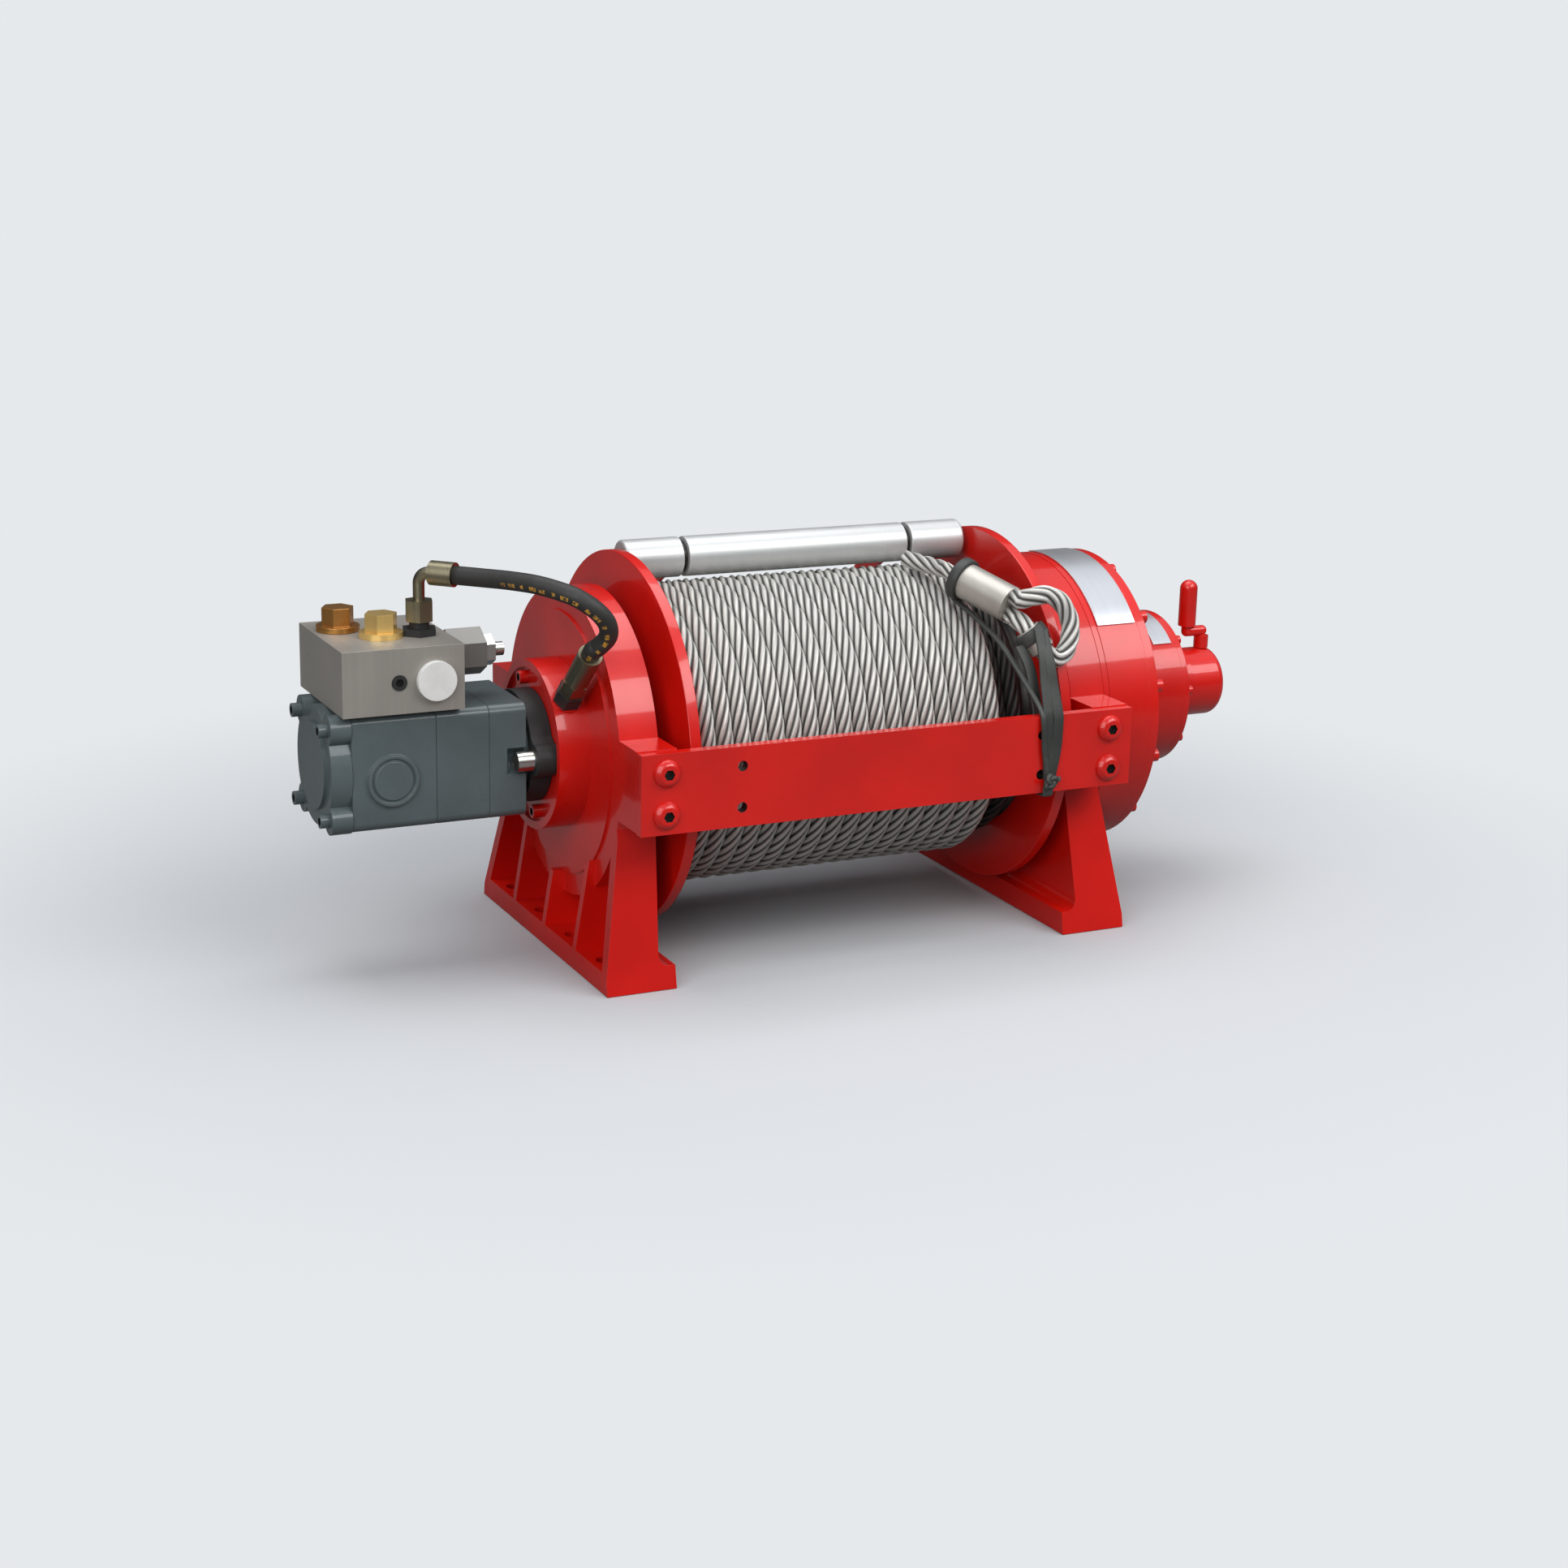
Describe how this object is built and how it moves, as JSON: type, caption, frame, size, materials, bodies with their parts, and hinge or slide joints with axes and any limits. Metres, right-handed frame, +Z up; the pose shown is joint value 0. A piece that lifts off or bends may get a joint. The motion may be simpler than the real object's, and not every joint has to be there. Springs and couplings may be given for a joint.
{
  "type": "hydraulic winch",
  "caption": "Planetary hydraulic recovery winch with wire rope on its drum, rope press roller, orbital motor with valve block, brake, clutch lever and two cast feet.",
  "frame": {"origin": "on the base plane, at the centre of the foot bolt pattern, under the middle of the drum", "axes": "+X along the drum axis towards the gearbox and clutch, +Y towards the rear tie bar, +Z up from the feet"},
  "size_m": [0.909, 0.4039, 0.3575],
  "materials": {
    "red_paint": "gloss",
    "motor_paint": "satin",
    "black_iron": "satin",
    "block_metal": "satin",
    "gold_zinc": "satin",
    "olive_zinc": "satin",
    "bright_steel": "polished",
    "dark_steel": "satin",
    "bronze": "satin",
    "hose_rubber": "matte",
    "strap_rubber": "matte",
    "wire_rope": "satin",
    "satin_silver": "satin",
    "ferrule_alloy": "matte",
    "white_plastic": "matte"
  },
  "bodies": {
    "winch_frame": {"left_bracket": "red_paint", "right_bracket": "red_paint", "front_tie_bar": "red_paint", "rear_tie_bar": "red_paint", "tie_bar_screws": "red_paint", "brake_housing": "red_paint", "brake_springs": "dark_steel", "brake_steel_discs": "bright_steel", "motor_flange": "black_iron", "motor_bearing_housing": "motor_paint", "motor_gerotor_set": "motor_paint", "motor_port_housing": "motor_paint", "motor_end_cover": "motor_paint", "motor_screws": "bright_steel", "valve_block": "block_metal", "port_plug_rear": "gold_zinc", "port_plug_front": "gold_zinc", "relief_valve": "bright_steel", "block_socket_plug": "dark_steel", "block_port_cap": "white_plastic", "hose_adapters": "dark_steel", "swivel_elbow": "olive_zinc", "hose_ferrules": "olive_zinc", "brake_hose": "hose_rubber", "drum_bushes": "bronze", "low_ring_gear": "red_paint", "gearbox_cover": "red_paint", "housing_screws": "red_paint", "high_ring_gear": "red_paint", "high_cover": "red_paint", "clutch_housing": "red_paint", "nameplates": "satin_silver", "tensioner_brackets": "red_paint", "torsion_springs": "dark_steel", "rope_tail": "wire_rope", "rope_ferrules": "ferrule_alloy", "rubber_strap": "strap_rubber"},
    "drum": {"drum": "red_paint", "rope_core": "wire_rope", "rope_winding": "wire_rope", "low_carrier": "dark_steel"},
    "input": {"input_shaft": "bright_steel", "motor_shaft": "bright_steel", "brake_hub": "dark_steel", "brake_friction_discs": "bronze"},
    "high_carrier": {"high_carrier": "dark_steel"},
    "low_planet_1": {"low_planet_1": "dark_steel"},
    "low_planet_2": {"low_planet_2": "dark_steel"},
    "low_planet_3": {"low_planet_3": "dark_steel"},
    "high_planet_1": {"high_planet_1": "dark_steel"},
    "high_planet_2": {"high_planet_2": "dark_steel"},
    "high_planet_3": {"high_planet_3": "dark_steel"},
    "brake_piston": {"brake_piston": "bright_steel"},
    "clutch_lever": {"clutch_lever": "dark_steel"},
    "clutch_plunger": {"clutch_plunger": "bright_steel"},
    "tensioner": {"tensioner_arms": "red_paint", "tensioner_shafts": "bright_steel"},
    "roller_centre": {"roller_centre": "satin_silver"},
    "roller_left": {"roller_left": "satin_silver"},
    "roller_right": {"roller_right": "satin_silver"}
  },
  "joints": [
    {"name": "drum_spin", "type": "hinge", "parent": "winch_frame", "child": "drum", "pos_m": [0, 0, 0.185], "axis": [1, 0, 0], "continuous": true},
    {"name": "input_spin", "type": "hinge", "parent": "winch_frame", "child": "input", "pos_m": [0, 0, 0.185], "axis": [1, 0, 0], "continuous": true},
    {"name": "high_carrier_spin", "type": "hinge", "parent": "winch_frame", "child": "high_carrier", "pos_m": [0, 0, 0.185], "axis": [1, 0, 0], "continuous": true},
    {"name": "low_planet_1_spin", "type": "hinge", "parent": "drum", "child": "low_planet_1", "pos_m": [0.265, 0, 0.113], "axis": [1, 0, 0], "continuous": true},
    {"name": "low_planet_2_spin", "type": "hinge", "parent": "drum", "child": "low_planet_2", "pos_m": [0.265, 0.06235, 0.221], "axis": [1, 0, 0], "continuous": true},
    {"name": "low_planet_3_spin", "type": "hinge", "parent": "drum", "child": "low_planet_3", "pos_m": [0.265, -0.06235, 0.221], "axis": [1, 0, 0], "continuous": true},
    {"name": "high_planet_1_spin", "type": "hinge", "parent": "high_carrier", "child": "high_planet_1", "pos_m": [0.325, 0, 0.149], "axis": [1, 0, 0], "continuous": true},
    {"name": "high_planet_2_spin", "type": "hinge", "parent": "high_carrier", "child": "high_planet_2", "pos_m": [0.325, 0.03118, 0.203], "axis": [1, 0, 0], "continuous": true},
    {"name": "high_planet_3_spin", "type": "hinge", "parent": "high_carrier", "child": "high_planet_3", "pos_m": [0.325, -0.03118, 0.203], "axis": [1, 0, 0], "continuous": true},
    {"name": "brake_release", "type": "slide", "parent": "winch_frame", "child": "brake_piston", "axis": [-1, 0, 0], "range_m": [0, 0.0015], "stiffness_N_per_m": 5000, "springref_m": -0.002},
    {"name": "clutch_lever_turn", "type": "hinge", "parent": "winch_frame", "child": "clutch_lever", "pos_m": [0.4295, 0, 0.235], "axis": [0, 0, 1], "range_deg": [0, 92]},
    {"name": "clutch_plunger_slide", "type": "slide", "parent": "winch_frame", "child": "clutch_plunger", "axis": [-1, 0, 0], "range_m": [0, 0.0025]},
    {"name": "tensioner_lift", "type": "hinge", "parent": "winch_frame", "child": "tensioner", "pos_m": [0, 0.197, 0.23], "axis": [-1, 0, 0], "range_deg": [0, 25], "stiffness_Nm_per_rad": 10, "springref_deg": -20.05},
    {"name": "roller_centre_spin", "type": "hinge", "parent": "tensioner", "child": "roller_centre", "pos_m": [0, 0.03293, 0.33605], "axis": [1, 0, 0], "continuous": true},
    {"name": "roller_left_spin", "type": "hinge", "parent": "tensioner", "child": "roller_left", "pos_m": [0, 0.03293, 0.33605], "axis": [1, 0, 0], "continuous": true},
    {"name": "roller_right_spin", "type": "hinge", "parent": "tensioner", "child": "roller_right", "pos_m": [0, 0.03293, 0.33605], "axis": [1, 0, 0], "continuous": true}
  ],
  "couplings": [
    {"joint": "input_spin", "follows": "drum_spin", "ratio": 23.04},
    {"joint": "high_carrier_spin", "follows": "drum_spin", "ratio": 4.8},
    {"joint": "low_planet_1_spin", "follows": "drum_spin", "ratio": -2.7143},
    {"joint": "low_planet_2_spin", "follows": "drum_spin", "ratio": -2.7143},
    {"joint": "low_planet_3_spin", "follows": "drum_spin", "ratio": -2.7143},
    {"joint": "high_planet_1_spin", "follows": "drum_spin", "ratio": -13.029},
    {"joint": "high_planet_2_spin", "follows": "drum_spin", "ratio": -13.029},
    {"joint": "high_planet_3_spin", "follows": "drum_spin", "ratio": -13.029},
    {"joint": "clutch_lever_turn", "follows": "clutch_plunger_slide", "rad_per_m": 628.32}
  ]
}
